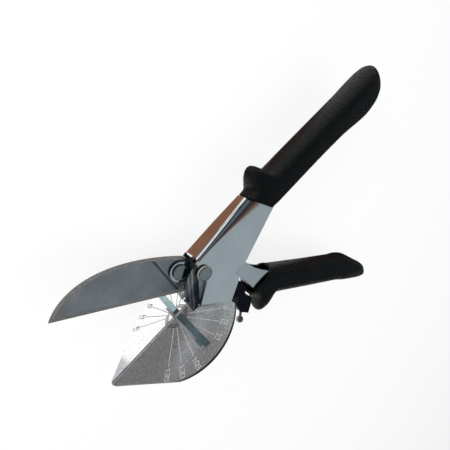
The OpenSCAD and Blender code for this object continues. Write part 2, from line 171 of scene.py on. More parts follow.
def on_wing(x, reach, height, side):
    """Points on a wing: x along the ridge, reach down its slope, height off its face; side 1 near, -1 far."""
    y = -reach * np.sin(SLOPE) + height * np.cos(SLOPE)
    z = reach * np.cos(SLOPE) + height * np.sin(SLOPE)
    return np.stack([x, y, side * z], -1)


# Finishes


def finish_shader(name, colour, metal, rough):
    """A material with one principled shader, its colour, metal and roughness set on the sockets."""
    material = bpy.data.materials.new(name)
    material.use_nodes = True
    tree = material.node_tree
    shader = tree.nodes["Principled BSDF"]
    shader.inputs["Base Color"].default_value = (*colour, 1)
    shader.inputs["Metallic"].default_value = metal
    shader.inputs["Roughness"].default_value = rough
    place = tree.nodes.new("ShaderNodeTexCoord")
    return material, tree, shader, place.outputs["Object"]


def add_noise(tree, place, scale, stretch=(1, 1, 1), detail=4.0, turn=(0, 0, 0)):
    """Fractal noise on the piece's own coordinates, stretched and turned by a mapping."""
    mapping = tree.nodes.new("ShaderNodeMapping")
    mapping.inputs["Scale"].default_value = stretch
    mapping.inputs["Rotation"].default_value = turn
    noise = tree.nodes.new("ShaderNodeTexNoise")
    noise.inputs["Scale"].default_value = scale
    noise.inputs["Detail"].default_value = detail
    tree.links.new(place, mapping.inputs["Vector"])
    tree.links.new(mapping.outputs["Vector"], noise.inputs["Vector"])
    return noise.outputs["Fac"]


def add_range(tree, value, low, high, to_low, to_high):
    """Maps a value from one range to another."""
    node = tree.nodes.new("ShaderNodeMapRange")
    for key, number in zip(("From Min", "From Max", "To Min", "To Max"), (low, high, to_low, to_high)):
        node.inputs[key].default_value = number
    tree.links.new(value, node.inputs["Value"])
    return node.outputs["Result"]


def add_ramp(tree, value, stops):
    """A colour ramp through the given stops of place and colour."""
    node = tree.nodes.new("ShaderNodeValToRGB")
    ramp = node.color_ramp
    for _ in range(len(stops) - 2):
        ramp.elements.new(0.5)
    for element, (where, colour) in zip(ramp.elements, stops):
        element.position = where
        element.color = (*colour, 1)
    tree.links.new(value, node.inputs["Fac"])
    return node.outputs["Color"]


def add_bump(tree, shader, height, strength, distance):
    """A bump from a height value onto the shader's normal."""
    node = tree.nodes.new("ShaderNodeBump")
    node.inputs["Strength"].default_value = strength
    node.inputs["Distance"].default_value = distance
    tree.links.new(height, node.inputs["Height"])
    tree.links.new(node.outputs["Normal"], shader.inputs["Normal"])


def mottle(tree, shader, value, colour, dark, light, stops=(0.3, 0.7)):
    """Lets the colour run with a value, from a darker to a lighter tone of itself."""
    ramp = add_ramp(tree, value, [(stops[0], tone(colour, dark)), (stops[1], tone(colour, light))])
    tree.links.new(ramp, shader.inputs["Base Color"])


def uneven_gloss(tree, shader, value, rough, less, more, stops=(0.3, 0.7)):
    """Lets the roughness run with a value, between two shares of itself."""
    tree.links.new(add_range(tree, value, *stops, rough * less, rough * more), shader.inputs["Roughness"])


def add_vector(tree, operation, first, second=None):
    """A vector sum of one kind, on a link and a fixed vector."""
    node = tree.nodes.new("ShaderNodeVectorMath")
    node.operation = operation
    tree.links.new(first, node.inputs[0])
    if second is not None:
        node.inputs[1].default_value = second
    return node.outputs


def add_mix(tree, blend, factor):
    """A colour mix of one kind; its two colours are set or linked by the caller."""
    node = tree.nodes.new("ShaderNodeMix")
    node.data_type = "RGBA"
    node.blend_type = blend
    node.inputs["Factor"].default_value = factor
    return node


def finish_faces(mesh, chosen, material):
    """Gives the chosen triangles of a carried-over part another material."""
    mesh.materials.append(material)
    index = read_rows(mesh.polygons, "material_index", np.int32)
    index[chosen] = len(mesh.materials) - 1
    mesh.polygons.foreach_set("material_index", index)


def triangles(name):
    """A carried-over part's mesh, with its triangles' normals and corner points in millimetres."""
    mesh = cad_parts[name].data
    normal = read_rows(mesh.polygons, "normal", np.float32, 3)
    corner = read_rows(mesh.loops, "vertex_index", np.int32)
    return mesh, normal, mesh_points(mesh)[corner].reshape(-1, 3, 3) / MM


def tone(colour, factor):
    """A lighter or darker tone of a colour."""
    return tuple(min(1.0, c * factor) for c in colour)


def plated_sheet(name, colour, rough):
    """Bright plated sheet: slow waves in the gloss and a few fine rub marks."""
    material, tree, shader, place = finish_shader(name, colour, 1.0, rough)
    mottle(tree, shader, add_noise(tree, place, 60, detail=3), colour, 0.93, 1.05)
    rub = add_noise(tree, place, 900, (1, 12, 1), 3, (0, 0, 0.4))
    uneven_gloss(tree, shader, rub, rough, 0.8, 1.35, (0.3, 0.75))
    add_bump(tree, shader, add_noise(tree, place, 130, detail=1), 0.05, 0.0004)
    return material


def galvanised(colour, rough):
    """Galvanised sheet: dull patches of spangle under fine scuffs."""
    material, tree, shader, place = finish_shader("galvanised_sheet", colour, 1.0, rough)
    cells = tree.nodes.new("ShaderNodeTexVoronoi")
    cells.inputs["Scale"].default_value = 420
    tree.links.new(place, cells.inputs["Vector"])
    mix = add_mix(tree, "OVERLAY", 0.16)
    cloud = add_noise(tree, place, 1100, detail=6)
    dull = [(0.3, tone(colour, 0.76)), (0.48, tone(colour, 0.98)), (0.68, (1, 1, 1))]
    tree.links.new(add_ramp(tree, cloud, dull), mix.inputs["A"])
    tree.links.new(cells.outputs["Color"], mix.inputs["B"])
    flat = tree.nodes.new("ShaderNodeRGBToBW")
    grey = tree.nodes.new("ShaderNodeCombineColor")
    tree.links.new(mix.outputs["Result"], flat.inputs["Color"])
    for key in ("Red", "Green", "Blue"):
        tree.links.new(flat.outputs["Val"], grey.inputs[key])
    tree.links.new(grey.outputs["Color"], shader.inputs["Base Color"])
    scuff = add_noise(tree, place, 1500, detail=6)
    uneven_gloss(tree, shader, scuff, rough, 0.85, 1.2)
    add_bump(tree, shader, scuff, 0.2, 0.0001)
    return material


def zinc_strip(name, colour, rough, edge_highlight=None):
    """Zinc plating with a faint mottle; the optional edge colour lays a pale band along the edge by the
    blade, a painted highlight for the fence's lit side.
    """
    material, tree, shader, place = finish_shader(name, colour, 1.0, rough)
    cloud = add_noise(tree, place, 300, detail=4)
    face = add_ramp(tree, cloud, [(0.3, tone(colour, 0.8)), (0.7, tone(colour, 1.2))])
    if edge_highlight:
        split = tree.nodes.new("ShaderNodeSeparateXYZ")
        tree.links.new(place, split.inputs["Vector"])
        mix = add_mix(tree, "MIX", 0.5)
        mix.inputs["A"].default_value = (*edge_highlight, 1)
        # Pale painted highlight band along the fence's edge
        tree.links.new(add_range(tree, split.outputs["X"], -0.0003, 0.0002, 0, 1), mix.inputs["Factor"])
        tree.links.new(face, mix.inputs["B"])
        face = mix.outputs["Result"]
    tree.links.new(face, shader.inputs["Base Color"])
    add_bump(tree, shader, add_noise(tree, place, 1800, detail=3), 0.08, 0.0001)
    return material


# The line where the blade's ground face stops, drawn about the pivot
GROUND_STOP = ((-25.9, 6.3, 0), (-9.1, -13.2, 0))


def ground_steel(colour, rough):
    """Ground blade steel: fine grinding lines across the blade, slow darker patches, and a dark line where
    the ground face stops in front of the heel."""
    material, tree, shader, place = finish_shader("ground_steel", colour, 1.0, rough)
    ends = on_lever(GROUND_STOP) * MM
    side = np.array([ends[0, 1] - ends[1, 1], ends[1, 0] - ends[0, 0], 0])
    side /= np.linalg.norm(side)
    away = add_vector(tree, "DOT_PRODUCT", place, side)["Value"]
    stop = float(ends[0] @ side)
    patch = add_noise(tree, place, 70, detail=4)
    brown = tuple(np.multiply(colour, (0.92, 0.84, 0.77)))
    face = add_ramp(tree, patch, [(0.3, brown), (0.5, colour), (0.72, tone(colour, 1.3))])
    greys = ((0.0, 1), (0.44, 0.95), (0.49, 0.25), (0.51, 0.3), (0.535, 1), (0.62, 0.86))
    shades = add_ramp(tree, add_range(tree, away, stop - 0.01, stop + 0.01, 0, 1),
                      [(where, (grey, grey, grey)) for where, grey in greys])
    mix = add_mix(tree, "MULTIPLY", 1.0)
    tree.links.new(face, mix.inputs["A"])
    tree.links.new(shades, mix.inputs["B"])
    tree.links.new(mix.outputs["Result"], shader.inputs["Base Color"])
    lines = add_noise(tree, place, 500, (9, 0.8, 1), 5, (0, 0, -0.75))
    uneven_gloss(tree, shader, lines, rough, 0.85, 1.2)
    add_bump(tree, shader, lines, 0.10, 0.00008)
    return material


def honed_edge(colour, rough):
    """Honed bevel of the blade: pale satin, with lines along the stone's stroke."""
    material, tree, shader, place = finish_shader("honed_edge", colour, 0.6, rough)
    lines = add_noise(tree, place, 700, (1, 1, 6), 4)
    mottle(tree, shader, lines, colour, 0.7, 1.25)
    add_bump(tree, shader, lines, 0.1, 0.00006)
    return material


def sheared_edge(colour, rough):
    """Cut edge of the sheet: dark and dull, with fine tear lines across its thickness."""
    material, tree, shader, place = finish_shader("sheared_edge", colour, 1.0, rough)
    lines = add_noise(tree, place, 900, (1, 1, 0.2), 4)
    mottle(tree, shader, lines, colour, 0.6, 1.5)
    uneven_gloss(tree, shader, lines, rough, 0.8, 1.2)
    add_bump(tree, shader, lines, 0.15, 0.0001)
    return material


# Direction across the folded lips, the span of the fold along it in metres, and its painted reflection
# streaks as place and tone
LIP_ACROSS = (-0.837, 0.547, 0)
LIP_SPAN = (-0.0096, -0.0046)
LIP_PAINTED_STREAKS = (
    (0.0, 0.4), (0.2, 1), (0.28, 3.4), (0.36, 0.5), (0.55, 1.3), (0.68, 2.2), (0.78, 0.6), (1.0, 1),
)


def lip_painted_reflection(colour, rough):
    """Plating darkened where the front edges are folded, a painted dark reflection, with light and dark
    painted reflection streaks drawn along the fold.
    """
    material, tree, shader, place = finish_shader("lip_painted_reflection", colour, 1.0, rough)
    wave = add_range(tree, add_noise(tree, place, 160, detail=3), 0.3, 0.7, -0.0005, 0.0005)
    shift = tree.nodes.new("ShaderNodeMath")
    tree.links.new(add_vector(tree, "DOT_PRODUCT", place, LIP_ACROSS)["Value"], shift.inputs[0])
    tree.links.new(wave, shift.inputs[1])
    share = add_range(tree, shift.outputs["Value"], *LIP_SPAN, 0, 1)
    # Light and dark painted reflection streaks across the fold
    painted_streaks = [(where, tone(colour, factor)) for where, factor in LIP_PAINTED_STREAKS]
    tree.links.new(add_ramp(tree, share, painted_streaks), shader.inputs["Base Color"])
    uneven_gloss(tree, shader, add_noise(tree, place, 700, detail=3), rough, 0.8, 1.3)
    return material


def nickel(name, colour, rough):
    """Nickel plated fixings, lightly handled."""
    material, tree, shader, place = finish_shader(name, colour, 1.0, rough)
    cloud = add_noise(tree, place, 700, detail=4)
    mottle(tree, shader, cloud, colour, 0.85, 1.15)
    uneven_gloss(tree, shader, cloud, rough, 0.7, 1.5)
    add_bump(tree, shader, add_noise(tree, place, 1400, detail=2), 0.06, 0.0001)
    return material


def satin_side_painted_rings(colour, rough):
    """Satin turned side of a head: dark and pale rings round the hinge's line, painted reflection bands in
    its colour.
    """
    material, tree, shader, place = finish_shader("satin_side_painted_rings", colour, 0.6, rough)
    rings = add_noise(tree, place, 1300, (0.03, 0.03, 1), 1)
    uneven_gloss(tree, shader, rings, rough, 0.7, 1.4)
    # Dark and pale painted reflection rings in the colour
    mottle(tree, shader, rings, colour, 0.06, 1.2, (0.42, 0.56))
    return material


def turned_head(name, colour, rough, centre, radius):
    """A turned rivet head: faint lathe rings, a painted highlight ring on its shoulder, and painted shade in
    the corner round its foot.
    """
    material, tree, shader, place = finish_shader(name, colour, 1.0, rough)
    step = add_vector(tree, "SUBTRACT", place, np.asarray(centre) * MM)
    flat = add_vector(tree, "MULTIPLY", step["Vector"], (1, 1, 0))
    far = add_vector(tree, "LENGTH", flat["Vector"])
    share = add_range(tree, far["Value"], 0, radius * MM * 1.05, 0, 1)
    # Tones out from the axis: the lighter step near the shoulder is a painted highlight, the dark step at the
    # rim is painted shade round the foot
    shades = ((0.0, 1.1), (0.7, 1), (0.82, 1.2), (0.9, 0.9), (0.95, 0.2))
    ramp = add_ramp(tree, share, [(where, tone(colour, factor)) for where, factor in shades])
    tree.links.new(ramp, shader.inputs["Base Color"])
    rings = add_noise(tree, place, 1500, detail=3)
    uneven_gloss(tree, shader, rings, rough, 0.75, 1.35)
    add_bump(tree, shader, rings, 0.05, 0.0001)
    return material


def spring_wire():
    """Dark drawn spring wire with fine draw lines."""
    colour, rough = (0.035, 0.035, 0.04), 0.4
    material, tree, shader, place = finish_shader("spring_wire", colour, 1.0, rough)
    lines = add_noise(tree, place, 1200, (1, 1, 6), 3)
    uneven_gloss(tree, shader, lines, rough, 0.75, 1.25)
    add_bump(tree, shader, lines, 0.1, 0.00005)
    return material


def moulded_black(name, colour, rough, gloss, pebble, depth):
    """Moulded black plastic: a fine pebble in the mould and a little uneven gloss."""
    material, tree, shader, place = finish_shader(name, colour, 0.0, rough)
    shader.inputs["Specular IOR Level"].default_value = gloss
    mottle(tree, shader, add_noise(tree, place, 90, detail=4), colour, 0.75, 1.35, (0.3, 0.75))
    grain = tree.nodes.new("ShaderNodeTexVoronoi")
    grain.feature = "SMOOTH_F1"
    grain.inputs["Scale"].default_value = pebble
    tree.links.new(place, grain.inputs["Vector"])
    worn = add_noise(tree, place, pebble * 0.9, detail=3)
    uneven_gloss(tree, shader, worn, rough, 0.7, 1.3)
    add_bump(tree, shader, grain.outputs["Distance"], depth, 0.0005)
    return material


def mark_fill(name, colour, rough):
    """Dull floor of the engraved marks."""
    material, tree, shader, place = finish_shader(name, colour, 0.0, rough)
    mottle(tree, shader, add_noise(tree, place, 900, detail=3), colour, 0.7, 1.3)
    return material


# Stage


def stage_plane(name, outline, height, material):
    """A flat outline of the stage at one height, its normal up."""
    mesh = bpy.data.meshes.new(name)
    mesh.from_pydata([(x, y, height) for x, y in outline], [], [tuple(range(len(outline)))])
    mesh.materials.append(material)
    return placed(name, mesh)


def pale_floor(colour, white):
    """Matt pale floor that takes the shadow; a share of what camera and bright metal see is plain white."""
    material, tree, shader, _ = finish_shader("pale_floor", colour, 0.0, 0.9)
    path = tree.nodes.new("ShaderNodeLightPath")
    seen = path.outputs["Is Camera Ray"]
    for other in ("Is Glossy Ray", "Is Transmission Ray"):
        either = tree.nodes.new("ShaderNodeMath")
        either.operation = "MAXIMUM"
        tree.links.new(seen, either.inputs[0])
        tree.links.new(path.outputs[other], either.inputs[1])
        seen = either.outputs["Value"]
    glow = tree.nodes.new("ShaderNodeEmission")
    mix = tree.nodes.new("ShaderNodeMixShader")
    tree.links.new(add_range(tree, seen, 0, 1, 0, white), mix.inputs["Fac"])
    tree.links.new(shader.outputs["BSDF"], mix.inputs[1])
    tree.links.new(glow.outputs["Emission"], mix.inputs[2])
    tree.links.new(mix.outputs["Shader"], tree.nodes["Material Output"].inputs["Surface"])
    return material


def card_glow(name, colour):
    """A card that only the bright metal mirrors."""
    material = bpy.data.materials.new(name)
    material.use_nodes = True
    tree = material.node_tree
    tree.nodes.remove(tree.nodes["Principled BSDF"])
    glow = tree.nodes.new("ShaderNodeEmission")
    glow.inputs["Color"].default_value = (*colour, 1)
    tree.links.new(glow.outputs["Emission"], tree.nodes["Material Output"].inputs["Surface"])
    return material


# Bands of the studio, as degrees from overhead and colour; None takes the sky's colour
ROOM = (
    (-180, (0.03, 0.03, 0.035)), (-80, (0.035, 0.035, 0.04)), (-62, (0.06, 0.065, 0.07)),
    (-50, None), (-25, None), (-18, (0.22, 0.13, 0.085)), (-8, (0.06, 0.045, 0.04)),
    (2, (0.03, 0.03, 0.035)), (14, (0.13, 0.17, 0.21)), (30, (0.10, 0.12, 0.14)),
    (38, (0.012, 0.012, 0.015)), (50, (0.012, 0.012, 0.015)), (56, (0.95, 0.98, 1)),
    (82, (0.95, 0.98, 1)), (91, (0.2, 0.11, 0.07)), (180, (0.22, 0.125, 0.08)),
)
# Cards that lie on the floor for the bright metal to mirror: name, height over it, colour, corners in metres
CARDS = (
    ("grey_mat", 0.0004, (0.175, 0.172, 0.178), ((-0.16, 0.03), (0.056, 0.03), (0.056, 0.4), (-0.16, 0.4))),
    ("brown_mat", 0.0008, (0.27, 0.13, 0.08), ((0.026, 0.028), (0.18, 0.028), (0.18, 0.066), (0.026, 0.066))),
    ("white_card", 0.0008, (1.2, 1.2, 1.2),
     ((-0.042, -0.014), (0.03, -0.014), (0.03, 0.029), (-0.042, 0.029))),
    ("dim_card", 0.0008, (0.6, 0.61, 0.63),
     ((-0.06, -0.014), (-0.042, -0.014), (-0.042, 0.029), (-0.06, 0.029))),
    ("pale_mat", 0.0008, (0.38, 0.42, 0.42), ((0.023, 0.116), (0.056, 0.104), (0.056, 0.2), (0.0, 0.2))),
    ("red_mat", 0.0008, (0.22, 0.15, 0.13),
     ((-0.026, 0.108), (-0.002, 0.108), (-0.002, 0.138), (-0.026, 0.138))),
    ("side_mat", 0.0004, (0.10, 0.06, 0.045), ((0.12, -0.4), (0.8, -0.4), (0.8, 0.027), (0.12, 0.027))),
)
FLOOR_HALF = 4
FLOOR_GAP = 0.0002
# Lamps: name, place, size, share of the key light's power
LAMPS = (("key", (-0.35, 0.75, 0.75), 0.9, 1.0), ("top", (0.25, -0.1, 1.1), 1.2, 0.8))
LAMP_AIM = Vector((0.04, 0.0, 0.0))
# The camera's place in millimetres, and its own right, down and forward
VIEW_FROM = np.array([8.98, 126.00, 145.18])
VIEW_RIGHT = np.array([0.67786, -0.47603, 0.56027])
VIEW_DOWN = np.array([-0.69409, -0.66560, 0.27425])
VIEW_AHEAD = np.array([0.24236, -0.57478, -0.78159])


def studio_world(sky, strength):
    """A soft studio whose colour goes round the shears' long axis in level bands, by the angle from overhead:
    a grey-blue ceiling behind, dark beams above, and a long low window over brown panels in front. The camera
    itself sees plain white past the floor."""
    world = bpy.data.worlds.new("studio")
    world.use_nodes = True
    tree = world.node_tree
    place = tree.nodes.new("ShaderNodeTexCoord")
    split = tree.nodes.new("ShaderNodeSeparateXYZ")
    tree.links.new(place.outputs["Generated"], split.inputs["Vector"])
    angle = tree.nodes.new("ShaderNodeMath")
    angle.operation = "ARCTAN2"
    tree.links.new(split.outputs["Y"], angle.inputs[0])
    tree.links.new(split.outputs["Z"], angle.inputs[1])
    share = add_range(tree, angle.outputs["Value"], -np.pi, np.pi, 0, 1)
    bands = add_ramp(tree, share, [((degrees + 180) / 360, colour or sky) for degrees, colour in ROOM])
    room = tree.nodes["Background"]
    tree.links.new(bands, room.inputs["Color"])
    room.inputs["Strength"].default_value = strength
    white = tree.nodes.new("ShaderNodeBackground")
    white.inputs["Color"].default_value = (1, 1, 1, 1)
    seen = tree.nodes.new("ShaderNodeLightPath")
    mix = tree.nodes.new("ShaderNodeMixShader")
    tree.links.new(seen.outputs["Is Camera Ray"], mix.inputs["Fac"])
    tree.links.new(room.outputs["Background"], mix.inputs[1])
    tree.links.new(white.outputs["Background"], mix.inputs[2])
    tree.links.new(mix.outputs["Shader"], tree.nodes["World Output"].inputs["Surface"])
    return world


# Surfaces


# The grips in millimetres: length, hump on the outer side with its place, width and two steps of fall, half
# heights on the outer and inner side, swell and flare towards the end, half width, and thinning of the end
UPPER_GRIP = {
    "size": 124, "hump": 18.8, "hump_at": 5, "hump_wide": 14.5, "fall": (1, 4.4), "outer": 9.6, "inner": 9.8,
    "swell": 3.8, "flare": 1.4, "wide": 10.8, "thin": 0,
}
LOWER_GRIP = {
    "size": 113, "hump": 22, "hump_at": 3, "hump_wide": 12, "fall": (0.6, 3), "outer": 9.2, "inner": 9.2,
    "swell": 1.2, "flare": 2.7, "wide": 10.4, "thin": 1.7,
}
# Where each grip starts behind the pivot, how far its end tips over, and the slant of its mouth
UPPER_SEAT = {"start": 46.5, "lean": 0.35, "slant": (4.5, 0.55, -20)}
LOWER_SEAT = {"start": 41.5, "lean": 1.2, "slant": (0.38, 1.13, -2)}
UPPER_LIFT = np.array([0, 4.0, 0])
LOWER_DROP = np.array([0, -13.4, 0])
# Rings of a grip's mouth and end, as share of the nearest section and shift along the grip
MOUTH_RINGS = ((0.86, 7.0), (0.86, 0.6), (0.875, 0.12), (0.9, -0.1), (0.955, -0.12), (0.99, 0.1))
END_RINGS = ((0.7, 0.25), (0.4, 0.4), (0.02, 0.45))
# How far the mouth's slant and the end's tip reach along a grip, and the power that squares its oval
MOUTH_REACH, TIP_REACH, OVAL = 13, 22, 0.86


def grip_keys(size, hump, hump_at, hump_wide, fall, outer, inner, swell, flare, wide, thin):
    """Key rows of a grip: distance from its mouth, outer half height, inner half height, half width."""
    return [
        [0, 8.2, inner + 0.9, wide - 1.6], [hump_at, 8.8, inner + 0.4, wide - 1],
        [hump_at + 0.17 * hump_wide, 12, inner + 0.2, wide - 0.6],
        [hump_at + 0.32 * hump_wide, hump - 2.4, inner, wide - 0.4],
        [hump_at + 0.5 * hump_wide, hump, inner, wide - 0.2],
        [hump_at + 0.68 * hump_wide, hump - fall[0], inner, wide],
        [hump_at + 0.84 * hump_wide, hump - fall[1], inner, wide],
        [hump_at + hump_wide, outer + 1.2, inner, wide],
        [hump_at + hump_wide + 4, outer, inner, wide],
        [34, outer + 0.1, inner, wide], [50, outer + 0.3, inner, wide],
        [66, outer + 0.4, inner + 0.1 * swell, wide], [80, outer + 0.5, inner + 0.3 * swell, wide],
        [size - 28, outer + 0.4 * flare, inner + 0.86 * swell, wide + 0.2],
        [size - 20, outer + 0.7 * flare, inner + 0.95 * swell - 0.5 * thin, wide + 0.4],
        [size - 11, outer + flare, inner + 0.6 * swell - 1.6 * thin, wide + 0.2],
        [size - 7, outer + flare, inner + 0.2 * swell - 2.2 * thin, wide - 0.4],
        [size - 3.6, outer + flare - 0.3, inner - 0.6 - 2.5 * thin, wide - 1.6],
        [size - 1.2, outer + flare - 1.6, inner - 2.6 - 2 * thin, wide - 4],
        [size, outer + flare - 4.6, inner - 6 - thin, wide - 7],
    ]


def grip_surface(keys, start, lean, slant, rows, columns):
    """A grip about an axis along X: at each distance the section is a squared oval whose outer and inner half
    heights differ, powered sharper under the hump; the rings lean back at the mouth and tip over at the end.
    A lip turns in at the mouth and runs a short way down the socket, and the end closes on its middle."""
    g = smooth_rows(keys, rows)
    f = np.linspace(0, 2 * np.pi, columns, endpoint=False)
    c, s = np.cos(f)[None], np.sin(f)[None]
    along, out, inn, wide = (g[:, k, None] for k in range(4))
    sharp = np.minimum(1.5, OVAL + 0.09 * np.maximum(0, out - inn - 1))
    y = np.where(s > 0, out * np.abs(s) ** sharp, -inn * np.abs(s) ** OVAL)
    z = wide * np.sign(c) * np.abs(c) ** OVAL
    mouth = np.maximum(0, 1 - along / MOUTH_REACH)
    tail = np.maximum(0, 1 - (keys[-1][0] - along) / TIP_REACH)
    shift, rate, least = slant
    x = start + along + mouth * np.maximum(least, shift - rate * y) + tail * lean * y
    skin = np.stack([x, y, z], -1)
    closed = []
    for ring, steps in ((skin[0], MOUTH_RINGS), (skin[-1], END_RINGS)):
        middle = ring.mean(0)
        closed.append(np.array([middle + (ring - middle) * k + np.array([dx, 0, 0]) for k, dx in steps]))
    return np.concatenate([closed[0], skin, closed[1]])


def opened_bends(points, across, down):
    """Opens the channel's two long bends towards the hand: at each distance along the spine the corner's
    round is a quarter ellipse whose half axes grow with the distance squared, by across over the spine and by
    down on the cheek. A point of the sheet outside the ellipse of its own depth moves towards the ellipse's
    centre until it lies on it. Also gives the ellipse's outward normal there, and which points moved."""
    c, s = np.cos(SPINE_RISE), np.sin(SPINE_RISE)
    turn = np.array([[c, -s], [s, c]])
    x, y = ((points[:, :2] - SPINE_FRONT) @ turn).T
    z = np.abs(points[:, 2])
    round_off = np.hypot(np.maximum(y + BEND, 0), np.maximum(z - HALF_WIDTH + BEND, 0))
    depth = np.clip(BEND - round_off, 0, SHEET)
    grow = np.clip(x, 0, SPINE_LENGTH) ** 2
    tall, wide = BEND + down * grow, BEND + across * grow
    u = np.maximum(y + tall, 0) / (tall - depth)
    w = np.maximum(z - HALF_WIDTH + wide, 0) / (wide - depth)
    far = np.hypot(u, w)
    far = np.where((x > 0) & (u > 0) & (w > 0), np.maximum(far, 1), 1)
    y = np.where(far > 1, (y + tall) / far - tall, y)
    z = np.where(far > 1, (z - HALF_WIDTH + wide) / far + HALF_WIDTH - wide, z)
    side = np.sign(points[:, 2])
    rise, lean = u / (tall - depth), w / (wide - depth)
    size = np.maximum(np.hypot(rise, lean), 1e-9)
    place = np.column_stack([np.stack([x, y], -1) @ turn.T + SPINE_FRONT, z * side])
    normal = np.column_stack([np.stack([np.zeros_like(x), rise / size], -1) @ turn.T, lean / size * side])
    on_round = (x > 0) & (x < SPINE_LENGTH) & (u > 0) & (w > 0) & (np.hypot(u, w) > 0.98)
    return place, normal, (far > 1) | on_round


# The angle scale in millimetres: starts and ends of rays and ticks, the ring's radius, and stroke widths
RAY_SPAN, TICK_SPAN, RING_RADIUS = (7.6, 27.4), (5.2, 7.0), 7.2
LINE_WIDTH, TICK_WIDTH, DIGIT_WIDTH = 0.36, 0.26, 0.4
MARK_HEIGHT = 0.03
DIGIT_FROM = 28.2
DIGIT_SIZE = 0.82
DIGIT_STEP = 2.2
ANGLE_WORDS = ((45, "45"), (30, "60"), (15, "75"), (-15, "105"), (-30, "120"), (-45, "135"))
DIGITS = {
    "0": [(0, 0, 0, 3), (0, 3, 2, 3), (2, 3, 2, 0), (2, 0, 0, 0)],
    "1": [(1, 0, 1, 3), (1, 3, 0.3, 2.4)],
    "2": [(0, 3, 2, 3), (2, 3, 2, 1.6), (2, 1.6, 0, 0), (0, 0, 2, 0)],
    "3": [(0, 3, 2, 3), (2, 3, 2, 0), (2, 0, 0, 0), (0.5, 1.6, 2, 1.6)],
    "4": [(1.6, 0, 1.6, 3), (1.6, 3, 0, 1), (0, 1, 2.2, 1)],
    "5": [(2, 3, 0, 3), (0, 3, 0, 1.7), (0, 1.7, 2, 1.7), (2, 1.7, 2, 0), (2, 0, 0, 0)],
    "6": [(2, 3, 0, 3), (0, 3, 0, 0), (0, 0, 2, 0), (2, 0, 2, 1.6), (2, 1.6, 0, 1.6)],
    "7": [(0, 3, 2, 3), (2, 3, 0.8, 0)],
}


def spokes(degrees):
    """Unit directions on a wing, at angles from the line square to the ridge."""
    turn = np.radians(degrees)
    return np.stack([np.sin(turn), np.cos(turn)], -1)


def strokes_between(starts, ends, width):
    """Stroke rows from starts to ends, all of one width."""
    return np.concatenate([starts, ends, np.full((len(starts), 1), width)], 1)


def mark_strokes(side):
    """Strokes of the angle scale in the plane of a wing, as rows of x, reach, x, reach, width: rays each 15
    degrees, a small ticked circle round the work point, and the angle numbers written along their rays,
    outward on the near wing and inward on the far one."""
    ray = spokes(np.arange(-45, 46, 15))
    lines = strokes_between(ray * RAY_SPAN[0], ray * RAY_SPAN[1], LINE_WIDTH)
    tick = spokes(np.arange(-80, 81, 5))
    ticks = strokes_between(tick * TICK_SPAN[0], tick * TICK_SPAN[1], TICK_WIDTH)
    circle = spokes(np.linspace(-84, 84, 33)) * RING_RADIUS
    ring = strokes_between(circle[:-1], circle[1:], LINE_WIDTH)
    words = []
    for angle, word in ANGLE_WORDS:
        out = spokes(angle)
        along = out * side
        up = np.array([along[1], -along[0]]) * side
        size = len(word) * DIGIT_STEP
        for k, digit in enumerate(word):
            s = np.array(DIGITS[digit]) * DIGIT_SIZE
            u = s[:, [0, 2]] + k * DIGIT_STEP - size / 2 + 0.25
            v = s[:, [1, 3]] - 1.5 * DIGIT_SIZE
            ends = out * (DIGIT_FROM + size / 2) + u[..., None] * along + v[..., None] * up
            words.append(strokes_between(ends[:, 0], ends[:, 1], DIGIT_WIDTH))
    return np.concatenate([lines, *words]), np.concatenate([ticks, ring])


def stroke_surface(strokes, side, height):
    """Each stroke as one flat strip of its width, lying just off a wing's face."""
    a, b, w = strokes[:, :2], strokes[:, 2:4], strokes[:, 4:]
    d = (b - a) / np.linalg.norm(b - a, axis=1, keepdims=True)
    n = np.stack([-d[:, 1], d[:, 0]], -1) * w / 2
    past = d * w / 2
    corners = np.stack([a - n - past, b - n + past, b + n + past, a + n - past], 1).reshape(-1, 2)
    points = on_wing(corners[:, 0], corners[:, 1], height, side)
    faces = np.arange(len(points)).reshape(-1, 4)
    return points, (faces[:, ::-1] if side > 0 else faces).tolist()


# Settings


# Size and range that every colour shares
RGB = {"size": 3, "min": 0, "max": 1}


